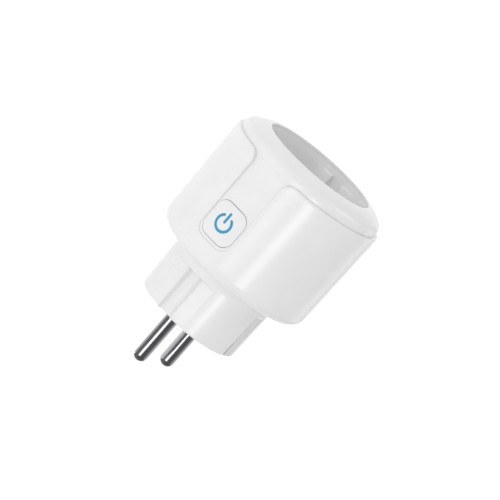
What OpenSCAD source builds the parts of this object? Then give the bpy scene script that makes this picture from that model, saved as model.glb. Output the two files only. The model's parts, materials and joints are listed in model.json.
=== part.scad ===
// Smart plug: a round adapter that plugs into a wall socket and switches the socket well on its front.
// Every module is drawn along the plug axis: z = 0 at the nose end face, +z towards the socket well,
// the pins on the x axis and the push button on +x. in_frame() lays it down with the pins along +Y.

/* [Plug pins] */
// Length of each pin outside the nose
pin_len = 19; // [18.5:0.1:19.5]
// Diameter of each pin
pin_d = 4.8; // [4.7:0.05:4.9]
// Distance between the pin centres
pin_pitch = 19; // [18.8:0.1:19.2]

/* [Nose] */
// Radius of the nose at its end face
nose_r = 18.25; // [18.1:0.05:18.4]
// Height of the body's underside above the nose end face
nose_len = 20.5; // [20.3:0.1:21]
// Radius of the concave flare between nose and body
flare_r = 4; // [3:0.5:4]
// Width of the guide groove on each side of the nose
groove_w = 5.5; // [5:0.1:5.8]
// Depth of the guide groove
groove_depth = 1.4; // [1:0.1:1.6]
// Height at which grooves and side panels end
panel_top = 16.2; // [15:0.1:16.4]

/* [Sleeve] */
// Radius of the sleeve at its open end
sleeve_r = 28.45; // [28.3:0.05:28.7]
// Radius of the sleeve at its underside
sleeve_foot_r = 27.88; // [27.8:0.02:28]
// Height of the sleeve's open end
sleeve_top = 59; // [58.5:0.1:59.5]
// Radius of the rounded edge under the sleeve
foot_round = 4; // [2:0.5:4.5]

/* [Button notch] */
// Half the width of the notch in the sleeve
notch_half = 6.95; // [6.9:0.05:7.2]
// Height of the bottom of the notch
notch_foot = 28.3; // [28:0.1:28.5]
// Radius of the notch's corners, at its foot and at its mouth
notch_round = 3.6; // [3:0.1:4]

/* [Button] */
// Width and height of the square button
button_w = 12.7; // [12:0.05:12.8]
// Corner radius of the button
button_round = 3.6; // [3:0.1:4]
// Height of the button's centre
button_z = 35.75; // [35.6:0.05:36]
// Travel of the button
button_travel = 0.4; // [0.3:0.05:0.4]

/* [Front and well] */
// Radius of the front ring
ring_r = 27.2; // [27:0.05:27.2]
// Radius of the socket well
well_r = 19.75; // [19.6:0.05:19.8]
// Depth of the socket well below its rim
well_depth = 17.5; // [17.3:0.1:17.5]
// Height of the well's rim above the nose end face
rim_z = 64.8; // [64.6:0.1:65]
// Radius of the shoulder round the front ring
shoulder_r = 3; // [2.5:0.1:3.2]

/* [Circuit board] */
// Height of the main board's underside
board_z = 24; // [23.9:0.05:24.1]
// Thickness of every board
board_t = 1.6; // [1.5:0.1:1.6]

/* [Hidden] */
$fn = 96;
over = 1; // how far a cutter runs past the face it cuts
pin_x = pin_pitch / 2;
pin_r = pin_d / 2;
pin_neck_r = 2;

// walls inside the shells
nose_bore = 16.3;
nose_floor = 2.2;
ledge_z = 22.7;
cavity_r = 25;
skirt_r = 26.6;
skirt_foot = 26.2;
seam_gap = 0.1;
step_z = 56; // where the sleeve's bore opens out for the front ring
strip_foot_r = 27.55; // surface of the button strip at the foot of the notch
strip_end = 57.8; // where the button strip runs out into the front ring

// socket well
well_floor = rim_z - well_depth;
well_floor_t = 2;
well_wall_t = 1.55;
insert_top = rim_z - 1.2;
insert_foot = well_floor - well_floor_t;
entry_r = 2.7;
guide_flat = 17.8;
guide_gap = 4.8;

// shutter and its frame
frame_foot = 41.3;
pocket_floor = 43.2;
shutter_foot = 43.4;
shutter_top = 45.05;
shutter_half_x = 13.1;
shutter_back = -10;
shutter_front = 4;
shutter_travel = 6;
pocket_end = 13.8;
spring_r = 0.95;
spring_wire = 0.2;
spring_z = 44;
spring_turns = 9;

// earth contacts
earth_w = 4.2;
earth_t = 0.8;
earth_y = 17.95;
earth_inner_y = 15.6;
clip_w = 5;
clip_t = 0.5;

// relay under the main board
relay_x = 13;
relay_y = 20;
relay_foot = 9.6;
relay_top = 23.8;
relay_wall = 0.8;
coil_z = 18.3;
coil_r = 3.7;
core_r = 1.4;
hinge_y = 2.1;
hinge_z = 13.8;

// button stack, measured along x
control_x = 16.6;
control_t = 1.2;
switch_top = 21.2;
plunger_foot = 20.2;
plunger_top = 22.2;
post_end = 22.3;
flange_top = 23.7;
cap_wall_x = 26.2;
button_gap = 0.15;
icon_r = 2.75;
icon_line = 0.95;
icon_bar = 4.1;
icon_open = 37;

part_top = board_z + board_t;

// ---------- shared shapes ----------

// Lays a shape drawn along the plug axis down into the part's own frame
module in_frame() {
    rotate([90, 0, 0]) children();
}

// A box centred on x and y, standing from z0 to z1
module slab(w, d, z0, z1) {
    translate([-w / 2, -d / 2, z0]) cube([w, d, z1 - z0]);
}

// A post about the z axis from z0 to z1
module post(r, z0, z1) {
    translate([0, 0, z0]) cylinder(r = r, h = z1 - z0);
}

// A tube about the z axis from z0 to z1
module tube(r_out, r_in, z0, z1) {
    difference() {
        post(r_out, z0, z1);
        post(r_in, z0 - over, z1 + over);
    }
}

// Turns a shape drawn in the button's own plane so that its height runs along x
module facing_button() {
    translate([0, 0, button_z]) rotate([90, 0, 90]) children();
}

// A square with round corners
module round_square(w, r) {
    inner = w - 2 * r;
    square([w, inner], center = true);
    square([inner, w], center = true);
    for (sx = [-1, 1], sy = [-1, 1]) {
        translate([sx * inner / 2, sy * inner / 2]) circle(r = r, $fn = 48);
    }
}

// Points of an arc about c, from angle a to angle b
function arc(c, r, a, b, steps) =
    [for (i = [0:steps]) let (t = a + (b - a) * i / steps) c + r * [cos(t), sin(t)]];

// Bent sheet metal seen from its edge: a line of points given a thickness, with mitred corners
function turned(v) = [-v[1], v[0]] / norm(v);
function mitre(pts, i) =
    let (last = len(pts) - 1)
    let (before = turned(pts[max(i, 1)] - pts[max(i, 1) - 1]))
    let (after = turned(pts[min(i, last - 1) + 1] - pts[min(i, last - 1)]))
    (before + after) / (1 + before * after);
module bent_strip(pts, t, w) {
    last = len(pts) - 1;
    rotate([90, 0, 90]) linear_extrude(w, center = true) polygon(concat(
        [for (i = [0:last]) pts[i] + mitre(pts, i) * t / 2],
        [for (i = [last:-1:0]) pts[i] - mitre(pts, i) * t / 2]));
}

// ---------- shells ----------

// Outline of the notch, drawn with its width along x and its height along y; gap draws it smaller
module notch_outline(gap) {
    half = notch_half - gap;
    foot = notch_foot + gap;
    r = notch_round;
    mouth = sleeve_top - notch_round;
    translate([-half, foot + r]) square([2 * half, sleeve_top + over - foot - r]);
    translate([-half + r, foot]) square([2 * (half - r), r + over]);
    for (side = [-1, 1]) {
        translate([side * (half - r), foot + r]) circle(r = r);
        difference() {
            translate([side > 0 ? half - over : -half - r, mouth]) square([r + over, r + over]);
            translate([side * (half + r), mouth]) circle(r = r);
        }
    }
}

// The notch's outline run through the wall on the button's side
module notch_block(gap, x0, x1) {
    rotate([90, 0, 90]) translate([0, 0, x0]) linear_extrude(x1 - x0) notch_outline(gap);
}

// Side view of the rear shell, turned about the plug axis
module rear_profile() {
    nose_top_r = nose_r + 0.4;
    edge = 0.7;
    polygon(concat(
        [[0, 0]],
        arc([nose_r - edge, edge], edge, -90, 0, 5),
        arc([nose_top_r + flare_r, nose_len - flare_r], flare_r, 180, 90, 10),
        arc([sleeve_foot_r - foot_round, nose_len + foot_round], foot_round, -90, 0, 10),
        [[sleeve_r, sleeve_top - 0.25], [sleeve_r - 0.25, sleeve_top]],
        [[ring_r + seam_gap, sleeve_top], [ring_r + seam_gap, step_z], [skirt_r + seam_gap, step_z],
         [skirt_r + seam_gap, skirt_foot - 0.2], [cavity_r, skirt_foot - 0.2], [cavity_r, ledge_z],
         [nose_bore, ledge_z], [nose_bore, nose_floor], [0, nose_floor]]));
}

// Guide grooves, flat side panels and earth recesses round the nose
module nose_cuts() {
    panel_turn = 18.25;
    panel_w = 6.2;
    panel_depth = 0.5;
    for (side = [0, 180]) {
        rotate([0, 0, side]) translate([nose_r - groove_depth, -groove_w / 2, -over])
            cube([groove_depth + over, groove_w, panel_top + over]);
        for (turn = [-panel_turn, panel_turn]) {
            rotate([0, 0, side + turn]) translate([nose_r - panel_depth, -panel_w / 2, -over])
                cube([panel_depth + over, panel_w, panel_top + over]);
        }
        rotate([0, 0, side + 90]) {
            translate([earth_y - earth_t / 2 - 0.1, -earth_w / 2 - 0.2, -over])
                cube([2, earth_w + 0.4, panel_top + 0.3 + over]);
            translate([nose_bore - over, -earth_w / 2 - 0.1, 15.2])
                cube([2.4, earth_w + 0.2, 1.2]);
        }
    }
}

screw_ring_r = 21.2;
screw_turns = [90, 210, 330];
module at_screws() {
    for (turn = screw_turns) {
        rotate([0, 0, turn]) translate([screw_ring_r, 0, 0]) children();
    }
}

module rear_housing() {
    in_frame() color("white") difference() {
        union() {
            rotate_extrude() rear_profile();
            at_screws() post(2.4, ledge_z - 0.5, board_z);
        }
        notch_block(0, 22, 32);
        nose_cuts();
        for (x = [-pin_x, pin_x]) {
            translate([x, 0, 0]) post(pin_neck_r + 0.02, -over, nose_floor + over);
            translate([x, 0, 0]) post(pin_r + 0.02, -over, 0.3);
        }
        at_screws() post(1.02, board_z - 2.9, board_z + over);
    }
}

// Side view of the front shell: skirt, ring, shoulder, domed face and the lip over the well
module front_profile() {
    shoulder = [ring_r - shoulder_r, sleeve_top + 0.9];
    turn = 70;
    crown = shoulder + shoulder_r * [cos(turn), sin(turn)];
    lip = [well_r + 0.35, rim_z];
    bulge = (crown + lip) / 2 + [0.12, 0.28];
    polygon(concat(
        [[skirt_r, skirt_foot], [skirt_r, step_z + 0.02], [ring_r, step_z + 0.22]],
        arc(shoulder, shoulder_r, 0, turn, 9),
        [bulge],
        arc([lip[0], lip[1] - 0.35], 0.35, 90, 180, 4),
        [[well_r, insert_top + 0.05], [well_r + well_wall_t + 0.1, insert_top + 0.05],
         [well_r + well_wall_t + 0.1, rim_z - 2.7], [ring_r - shoulder_r, sleeve_top + 2.1],
         [cavity_r, sleeve_top + 0.5], [cavity_r, skirt_foot]]));
}

module front_housing() {
    in_frame() color("white") difference() {
        union() {
            rotate_extrude() front_profile();
            intersection() {
                rotate_extrude() polygon([[skirt_r - 0.8, notch_foot], [strip_foot_r, notch_foot],
                    [ring_r, strip_end], [skirt_r - 0.8, strip_end]]);
                notch_block(0.12, 22, 32);
            }
        }
        facing_button() translate([0, 0, 20])
            linear_extrude(12) round_square(button_w + 2 * button_gap, button_round + button_gap);
    }
}

module socket_insert() {
    in_frame() color("gainsboro") difference() {
        union() {
            tube(well_r + well_wall_t, well_r, insert_foot, insert_top);
            post(well_r + 0.5, insert_foot, well_floor);
            intersection() {
                post(well_r + 0.6, well_floor - 0.5, rim_z - 3);
                for (x = [-1, 1], y = [-1, 1]) {
                    scale([x, y, 1]) translate([guide_flat, guide_gap / 2, 0]) cube([5, 10, 100]);
                }
            }
        }
        for (x = [-pin_x, pin_x]) {
            translate([x, 0, 0]) post(entry_r, insert_foot - over, well_floor + over);
        }
        for (side = [-1, 1]) {
            translate([0, side * (well_r + 0.5), 0]) slab(clip_w + 0.6, 4, 59.2, 61.2);
        }
    }
}

// ---------- shutter ----------

module shutter_frame() {
    frame_x = 31;
    frame_half_y = 14.2;
    in_frame() color("silver") difference() {
        slab(frame_x, 2 * frame_half_y, frame_foot, insert_foot - 0.1);
        translate([-shutter_half_x - 0.2, shutter_back - 0.3, pocket_floor])
            cube([2 * shutter_half_x + 0.4, pocket_end - shutter_back + 0.3, 3]);
        translate([-1.3, shutter_front - 2, 42.7]) cube([2.6, pocket_end - shutter_front + 2, 2]);
        for (x = [-pin_x, pin_x]) {
            translate([x, 0, 0]) post(2.8, frame_foot - over, pocket_floor + over);
        }
    }
}

module shutter() {
    in_frame() color("tomato") difference() {
        translate([-shutter_half_x, shutter_back, shutter_foot])
            cube([2 * shutter_half_x, shutter_front - shutter_back, shutter_top - shutter_foot]);
        for (x = [-pin_x, pin_x]) {
            translate([x, -shutter_travel, 0]) post(2.8, shutter_foot - over, shutter_top + over);
        }
    }
}

// The shutter's coil spring: one swept tube, with its rings and sides worked out from the turns
module shutter_spring() {
    sides = 6;
    rings = 12 * spring_turns;
    span = pocket_end - shutter_front - 0.1 - 2 * spring_wire;
    points = [for (i = [0:rings], j = [0:sides - 1])
        let (turn = 360 * spring_turns * i / rings, lean = 360 * j / sides)
        let (reach = spring_r + spring_wire * cos(lean))
        [reach * cos(turn),
         shutter_front + 0.05 + spring_wire + span * i / rings + spring_wire * sin(lean),
         spring_z + reach * sin(turn)]];
    walls = [for (i = [0:rings - 1], j = [0:sides - 1])
        let (k = (j + 1) % sides, a = i * sides, b = a + sides)
        [a + j, a + k, b + k, b + j]];
    caps = [[for (j = [sides - 1:-1:0]) j], [for (j = [0:sides - 1]) rings * sides + j]];
    in_frame() color("silver") polyhedron(points, concat(walls, caps));
}

// ---------- live and neutral ----------

// A solid round pin: domed tip, shaft, neck through the nose, collar and a riveted tail
module contact_pin() {
    translate([0, 0, pin_r - pin_len]) sphere(r = pin_r);
    post(pin_r, pin_r - pin_len, 0);
    post(pin_neck_r, -over, nose_floor);
    post(3.4, nose_floor, 3.4);
    post(1.8, 3.4, 4.2);
    post(2.8, 4.2, 5);
}

module live_pin() {
    in_frame() color("silver") translate([pin_x, 0, 0]) contact_pin();
}

module neutral_pin() {
    in_frame() color("silver") translate([-pin_x, 0, 0]) contact_pin();
}

// Copper strap from a pin's neck, up beside the relay and through the main board
module busbar() {
    color("orange") difference() {
        union() {
            translate([6.2, -3, 3.42]) cube([7.6, 6, 0.76]);
            translate([13, -2.5, 3.42]) cube([0.8, 5, 24]);
        }
        translate([pin_x, 0, 0]) post(1.85, 3, 5);
    }
}

module live_busbar() {
    in_frame() busbar();
}

module neutral_busbar() {
    in_frame() rotate([0, 0, 180]) busbar();
}

// Split brass tube that grips an inserted pin, with a foot on the main board
module receptacle() {
    tube_foot = 29;
    tube_top = 41;
    translate([pin_x, 0, 0]) difference() {
        tube(3.2, 2.45, tube_foot, tube_top);
        slab(0.7, 8, tube_foot + 3, tube_top + over);
    }
    translate([pin_x, 0, 0]) post(3.2, tube_foot - 0.8, tube_foot);
    translate([pin_x, 0, 0]) slab(1.2, 4.4, part_top, tube_foot - 0.8);
}

module live_receptacle() {
    in_frame() color("goldenrod") receptacle();
}

module neutral_receptacle() {
    in_frame() color("goldenrod") rotate([0, 0, 180]) receptacle();
}

// ---------- earth ----------

// Side contact of the nose: it lies in its recess, enters the nose and climbs through the board
module earth_strip() {
    color("silver") bent_strip([[earth_y, 0.5], [earth_y, 15.8], [earth_inner_y, 15.8],
        [earth_inner_y, 28]], earth_t, earth_w);
}

// Spring blade of the well: it climbs outside the well wall and bows inwards inside it
module earth_clip() {
    leg_y = 16.3;
    outer_y = 22.2;
    jog_z = 42.6;
    top_z = 60.3;
    color("silver") bent_strip([[leg_y, 23], [leg_y, jog_z], [outer_y, jog_z], [outer_y, top_z],
        [19, top_z], [17.6, 55], [18.9, 50]], clip_t, clip_w);
}

module earth_strip_top() {
    in_frame() earth_strip();
}

module earth_strip_bottom() {
    in_frame() mirror([0, 1, 0]) earth_strip();
}

module earth_clip_top() {
    in_frame() earth_clip();
}

module earth_clip_bottom() {
    in_frame() mirror([0, 1, 0]) earth_clip();
}

// Half ring that joins the two earth sides behind the neutral side
module earth_link() {
    in_frame() color("silver") difference() {
        tube(18.6, 16.75, 39, 39.8);
        translate([0, -20, 38]) cube([20, 40, 3]);
    }
}

// ---------- main board and its parts ----------

module main_board() {
    in_frame() color("seagreen") difference() {
        post(24.2, board_z, part_top);
        for (side = [-1, 1]) {
            translate([side * 13.4, 0, 0]) slab(1.2, 5.4, board_z - over, part_top + over);
            translate([0, side * 16, 0]) slab(6, 2.4, board_z - over, part_top + over);
        }
        at_screws() post(1.2, board_z - over, part_top + over);
    }
}

module board_screws() {
    in_frame() color("silver") at_screws() difference() {
        union() {
            post(1, board_z - 2.7, part_top);
            post(2, part_top, part_top + 1.3);
        }
        slab(0.5, 2.6, part_top + 0.6, part_top + 2);
        slab(2.6, 0.5, part_top + 0.6, part_top + 2);
    }
}

module relay_case() {
    in_frame() color("royalblue") difference() {
        slab(relay_x, relay_y, relay_foot, relay_top);
        slab(relay_x - 2 * relay_wall, relay_y - 2 * relay_wall, relay_foot + relay_wall, relay_top + over);
    }
}

module relay_base() {
    in_frame() color("black")
        slab(relay_x - 2 * relay_wall - 0.1, relay_y - 2 * relay_wall - 0.1, relay_top - 1.2, relay_top);
}

// Turns a z axis shape so that it runs along y at the coil's height
module along_coil() {
    translate([0, 0, coil_z]) rotate([-90, 0, 0]) children();
}

module relay_coil() {
    in_frame() color("chocolate") along_coil() union() {
        tube(coil_r - 0.6, core_r, -7.6, 0.1);
        tube(coil_r, core_r, -8, -7.2);
        tube(coil_r, core_r, 0, 0.6);
    }
}

module relay_yoke() {
    in_frame() color("gray") union() {
        translate([-3, -9, hinge_z - 0.4]) cube([6, 10.6, 0.8]);
        translate([-3, -9, hinge_z]) cube([6, 0.9, 7]);
        along_coil() post(core_r, -8.3, 1.4);
    }
}

module relay_armature() {
    in_frame() color("lightgray") union() {
        translate([0, hinge_y, hinge_z]) rotate([0, 90, 0]) cylinder(r = 0.45, h = 6, center = true, $fn = 24);
        translate([-3, 1.9, hinge_z]) cube([6, 0.6, 7.8]);
        translate([-1.2, 2.5, hinge_z + 1]) cube([2.4, 0.3, 6.6]);
    }
}

module relay_contacts() {
    in_frame() color("goldenrod") union() {
        translate([-1.5, 0.75, 20.4]) cube([3, 0.25, 2.1]);
        translate([-0.9, 0.95, 20.6]) cube([1.8, 0.3, 1]);
        translate([-3.2, 4.2, 12]) cube([6.4, 0.3, 10.5]);
    }
}

// A standing can with a rounded shoulder seat, placed on the board
module can(x, y, r, h) {
    translate([x, y, 0]) {
        post(r, part_top + 0.4, part_top + h);
        post(r - 0.5, part_top, part_top + 0.4);
    }
}

module smoothing_capacitors() {
    in_frame() color("dimgray") union() {
        can(0, 9.2, 4, 12);
        can(0, -9.2, 4, 12);
    }
}

module film_capacitor() {
    in_frame() color("gold") translate([-17.6, 0, 0]) slab(6, 13, part_top, part_top + 12);
}

module choke() {
    in_frame() color("darkslategray") translate([-12.2, -14.2, 0]) union() {
        post(4.4, part_top, part_top + 1.2);
        post(3.2, part_top + 1, part_top + 7);
        post(4.4, part_top + 6.8, part_top + 8);
    }
}

module varistor() {
    in_frame() color("deepskyblue") translate([-12.2, 14.2, part_top + 5.2]) rotate([0, 0, 40]) union() {
        rotate([0, 90, 0]) cylinder(r = 4.2, h = 3, center = true);
        for (y = [-2.5, 2.5]) {
            translate([0, y, -5.2]) cylinder(r = 0.35, h = 3, $fn = 24);
        }
    }
}

module fuse_resistor() {
    in_frame() color("tan") translate([10.2, -14.2, part_top + 2.2]) rotate([0, 90, 0]) union() {
        cylinder(r = 1.8, h = 8.5, center = true);
        cylinder(r = 0.35, h = 11, center = true, $fn = 24);
    }
}

module rectifier() {
    in_frame() color("black") translate([14.2, -8.6, 0]) slab(4, 4.6, part_top, part_top + 1.6);
}

module power_chip() {
    in_frame() color("black") translate([7.6, 8.6, 0]) slab(5, 4, part_top, part_top + 1.5);
}

module metering_chip() {
    in_frame() color("black") translate([7.6, -8.6, 0]) slab(5.6, 4, part_top, part_top + 1.5);
}

// Turns a shape so that it stands beside the well, facing the middle
module at_wireless() {
    rotate([0, 0, 50]) translate([19.4, 0, 0]) children();
}

module wireless_module() {
    in_frame() color("midnightblue") at_wireless() slab(0.8, 15, part_top, part_top + 15);
}

module wireless_shield() {
    in_frame() color("silver") at_wireless() translate([-1.5, 0, 0]) slab(2.2, 12, part_top + 1, part_top + 9.5);
}

// ---------- button ----------

module control_board() {
    in_frame() color("seagreen") translate([control_x + control_t / 2, 0, 0])
        slab(control_t, 15, part_top + 0.2, 43.5);
}

module board_header() {
    in_frame() color("black") translate([control_x - 0.8, 0, 0]) slab(1.6, 10, part_top, part_top + 2.5);
}

module status_leds() {
    led_reach = 4.2;
    in_frame() color("lightyellow") for (side = [-1, 1]) {
        translate([control_x + control_t, -0.8, button_z + side * led_reach - 0.5]) cube([0.8, 1.6, 1]);
    }
}

module switch_body() {
    in_frame() color("dimgray") facing_button() difference() {
        slab(6, 6, control_x + control_t, switch_top);
        post(1.85, plunger_foot - button_travel - 0.2, switch_top + over);
    }
}

module switch_plunger() {
    in_frame() color("black") facing_button() post(1.7, plunger_foot, plunger_top);
}

// The power symbol in the button's plane: a ring open at the top and an upright bar
module icon_outline() {
    reach = icon_r + icon_line;
    difference() {
        circle(r = icon_r + icon_line / 2);
        circle(r = icon_r - icon_line / 2);
        polygon([[0, 0], [-reach * tan(icon_open), reach], [reach * tan(icon_open), reach]]);
    }
    translate([-icon_line / 2, 0]) square([icon_line, icon_bar]);
}

button_face_r = 27.72;
module button_cap() {
    in_frame() color("white") difference() {
        union() {
            intersection() {
                facing_button() translate([0, 0, post_end + 0.3])
                    linear_extrude(8) round_square(button_w, button_round);
                post(button_face_r, 20, 50);
            }
            facing_button() translate([0, 0, post_end + 0.3])
                linear_extrude(flange_top - post_end - 0.3) round_square(button_w + 1.9, button_round + 0.9);
        }
        facing_button() difference() {
            translate([0, 0, post_end]) linear_extrude(cap_wall_x - post_end) round_square(9.6, 2);
            post(1.5, post_end - over, cap_wall_x + over);
        }
        facing_button() translate([0, 0, cap_wall_x - 0.01]) linear_extrude(3) icon_outline();
    }
    in_frame() color("white") facing_button() post(1.5, post_end, post_end + 0.6);
}

module power_icon() {
    in_frame() color("steelblue") intersection() {
        facing_button() translate([0, 0, cap_wall_x]) linear_extrude(3) icon_outline();
        post(button_face_r, 20, 50);
    }
}

module light_guide() {
    in_frame() color("azure") facing_button() tube(4.6, 1.6, post_end + 0.3, cap_wall_x);
}

rear_housing();
front_housing();
socket_insert();
shutter_frame();
shutter();
shutter_spring();
live_pin();
neutral_pin();
live_busbar();
neutral_busbar();
live_receptacle();
neutral_receptacle();
earth_strip_top();
earth_strip_bottom();
earth_clip_top();
earth_clip_bottom();
earth_link();
main_board();
board_screws();
relay_case();
relay_base();
relay_coil();
relay_yoke();
relay_armature();
relay_contacts();
smoothing_capacitors();
film_capacitor();
choke();
varistor();
fuse_resistor();
rectifier();
power_chip();
metering_chip();
wireless_module();
wireless_shield();
control_board();
board_header();
status_leds();
switch_body();
switch_plunger();
button_cap();
power_icon();
light_guide();
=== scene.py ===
"""The looks of the smart plug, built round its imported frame.

Shapes are drawn in millimetres along the plug axis: z = 0 is the nose's end face, +z runs towards the
socket well, the pins stand on the x axis and the button faces +x. along_axis() lays a point down into
the frame, where the pins point along +Y.
"""

import json
import math

import bmesh
import bpy
import numpy as np
from mathutils import Matrix, Vector
from mathutils.geometry import delaunay_2d_cdt


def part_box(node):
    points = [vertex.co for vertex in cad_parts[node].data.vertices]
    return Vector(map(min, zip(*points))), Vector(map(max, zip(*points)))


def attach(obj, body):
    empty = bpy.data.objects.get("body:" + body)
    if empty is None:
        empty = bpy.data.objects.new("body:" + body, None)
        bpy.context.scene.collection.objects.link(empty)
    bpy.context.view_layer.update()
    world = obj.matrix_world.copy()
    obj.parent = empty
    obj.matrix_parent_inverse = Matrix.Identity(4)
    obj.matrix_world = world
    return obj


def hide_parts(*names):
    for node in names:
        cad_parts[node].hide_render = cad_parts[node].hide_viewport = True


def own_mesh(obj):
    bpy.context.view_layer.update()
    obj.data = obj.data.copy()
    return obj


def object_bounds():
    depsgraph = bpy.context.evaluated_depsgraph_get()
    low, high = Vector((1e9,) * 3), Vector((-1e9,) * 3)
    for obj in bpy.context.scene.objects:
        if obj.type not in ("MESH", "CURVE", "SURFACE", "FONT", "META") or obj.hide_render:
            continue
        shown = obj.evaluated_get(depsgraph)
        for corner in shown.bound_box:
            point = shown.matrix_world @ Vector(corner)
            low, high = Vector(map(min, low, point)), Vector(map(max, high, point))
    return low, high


MM = 0.001
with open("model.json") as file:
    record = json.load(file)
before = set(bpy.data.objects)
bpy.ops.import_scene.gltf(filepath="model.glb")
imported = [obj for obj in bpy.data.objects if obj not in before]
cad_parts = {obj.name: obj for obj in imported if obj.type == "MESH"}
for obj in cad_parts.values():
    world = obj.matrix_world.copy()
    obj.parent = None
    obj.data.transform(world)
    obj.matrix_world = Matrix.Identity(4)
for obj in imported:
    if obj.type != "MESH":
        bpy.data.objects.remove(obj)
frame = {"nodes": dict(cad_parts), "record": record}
cad_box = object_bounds()


# ---------- sizes, read from the frame where the frame has them ----------

def high(node, axis):
    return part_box(node)[1][axis] / MM


def low(node, axis):
    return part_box(node)[0][axis] / MM


SLEEVE_TOP = -low("rear_housing", 1)
SLEEVE_R = high("rear_housing", 2)
RIM_Z = -low("front_housing", 1)
PIN_R = 2.4
PIN_NECK_R = 2.0
PIN_COLLAR_R = 3.4
PIN_COLLAR_TOP = 3.4
PIN_GROOVE_R = 1.8
PIN_TAIL_FOOT = 4.2
PIN_TAIL_R = 2.8
PIN_TAIL_END = 5.0
PIN_TAIL_CHAMFER = 0.2
PIN_LEN = high("live_pin", 1)
PIN_X = (high("live_pin", 0) + low("live_pin", 0)) / 2
BUTTON_Z = -(low("button_cap", 1) + high("button_cap", 1)) / 2
BUTTON_FACE_R = high("button_cap", 0)

NOSE_R = 18.25
NOSE_TOP_R = 18.65
NOSE_LEN = 20.5
NOSE_EDGE = 0.7
NOSE_BORE = 16.3
NOSE_FLOOR = 2.2
FLARE_R = 4.0
PANEL_DEPTH = 0.5
PANEL_FADE_DEG = 2.4
GROOVE_DEPTH = 1.4
GROOVE_HALF_DEG = 8.6
GROOVE_WALL_DEG = 0.15
PANEL_END_DEG = 28.1
EARTH_HALF_DEG = 7.3
EARTH_FLOOR = 17.45
NOSE_STEP_DEG = 1.5
NOSE_EDGE_SHIFTS = (-0.42, -0.25, -0.12, 0.0, 0.12, 0.25, 0.42)
# height along the nose, and how much of the depth of its flats and grooves is reached there
NOSE_LEVELS = ((5, 1), (10, 1), (14, 1), (15.8, 1), (15.98, 0.97), (16.08, 0.8), (16.14, 0.5), (16.2, 0.2),
               (16.28, 0.03), (16.34, 0))

SLEEVE_FOOT_R = 27.88
FOOT_ROUND = 4.0
SLEEVE_EDGE = 1.0
SLEEVE_DROP = 0.35
SLEEVE_WALL = 2.0
TAPER_END = SLEEVE_TOP - 0.25
JOIN_Z = NOSE_LEN + FOOT_ROUND
LEDGE_Z = 22.7
CAVITY_R = 25.0
SLEEVE_BORE = 26.7
MOUTH_BORE = 27.22
STEP_Z = 56.0
STEP_GAP = 0.5
UNROLL_R = 28.0

NOTCH_HALF = 6.95
NOTCH_FOOT = 28.3
NOTCH_ROUND = 3.6
STRIP_GAP = 0.02
STRIP_FOOT_R = 27.55
STRIP_END = 57.8
RING_R = 27.2
SHOULDER_R = 3.0
SHOULDER_LIFT = 0.9
RING_BOW = -0.3
RING_CEILING = SLEEVE_TOP + 2.1
RING_WALL_TOP = SLEEVE_TOP + 0.5
SKIRT_R = 26.6
SKIRT_FOOT = 26.2
STRIP_DEPTH = 1.5

WELL_R = 19.75
WELL_WALL = 1.55
WELL_FLOOR = RIM_Z - 17.5
WELL_FLOOR_T = 2.0
LIP_ROUND = 0.35
LIP_LEDGE = 1.65
LIP_LEDGE_FOOT = RIM_Z - 2.7
INSERT_TOP = RIM_Z - 1.2
ENTRY_R = 2.7
CLIP_SLOT_HALF = 2.8
CLIP_SLOT_FOOT = 59.2
CLIP_SLOT_TOP = 61.2
GUIDE_FLAT = 17.8
GUIDE_GAP = 4.8
GUIDE_TOP = RIM_Z - 3
GUIDE_ROUND = 0.4
GUIDE_BACK = 0.6
GUIDE_SINK = 0.5
FLOOR_SEAT = 0.3

BUTTON_W = 12.7
BUTTON_ROUND = 3.6
BUTTON_GAP = 0.15
CAP_WALL_X = 26.2
CAP_FOOT_X = 22.6
FLANGE_X = 23.7
CAP_CAVITY = 9.6
CAP_CAVITY_ROUND = 2.0
FLANGE_REACH = 0.95
FLANGE_ROUND = 4.5
KEY_POST_R = 1.5
KEY_POST_LEN = 4.1

SPRING_R = 0.95
SPRING_WIRE = 0.2
SPRING_Z = 44.0
SPRING_TURNS = 9
SPRING_START = low("shutter_spring", 2)
SPRING_STOP = high("shutter_spring", 2)

ICON_R = 2.75
ICON_LINE = 0.95
ICON_BAR = 4.1
ICON_OPEN = 37.0
ICON_PROUD = 0.015

COIL_WIRE = 0.35
WAVE_RATE = 20

SMOOTH_DEG = 32


# ---------- points ----------

def along_axis(x, y, z):
    return Vector((x, -z, y)) * MM


def arc(centre, radius, start, stop, steps):
    """Points of an arc about centre, from angle start to angle stop, in degrees."""
    turns = [math.radians(start + (stop - start) * i / steps) for i in range(steps + 1)]
    return [(centre[0] + radius * math.cos(t), centre[1] + radius * math.sin(t)) for t in turns]


def bowed(start, stop, rise, steps):
    """Points from start to stop, bowed to the left by rise, without the two ends."""
    dx, dy = stop[0] - start[0], stop[1] - start[1]
    length = math.hypot(dx, dy)
    points = []
    for i in range(1, steps):
        t = i / steps
        lift = rise * 4 * t * (1 - t) / length
        points.append((start[0] + dx * t - dy * lift, start[1] + dy * t + dx * lift))
    return points


def round_square(width, radius, steps=8):
    """Anticlockwise outline of a square with round corners, centred on the origin."""
    inner = width / 2 - radius
    outline = []
    for sx, sy, start in ((1, 1, 0), (-1, 1, 90), (-1, -1, 180), (1, -1, 270)):
        outline += arc((sx * inner, sy * inner), radius, start, start + 90, steps)
    return outline


def circle(radius, steps=48, centre=(0, 0)):
    return arc(centre, radius, 0, 360, steps)[:-1]


def spaced(points, longest):
    """The same open line with points added so that no step is longer than longest."""
    out = []
    for a, b in zip(points, points[1:]):
        count = max(1, math.ceil(math.dist(a, b) / longest))
        out += [(a[0] + (b[0] - a[0]) * i / count, a[1] + (b[1] - a[1]) * i / count) for i in range(count)]
    return out + [points[-1]]


# ---------- skins: points and faces that become one mesh ----------

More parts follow.
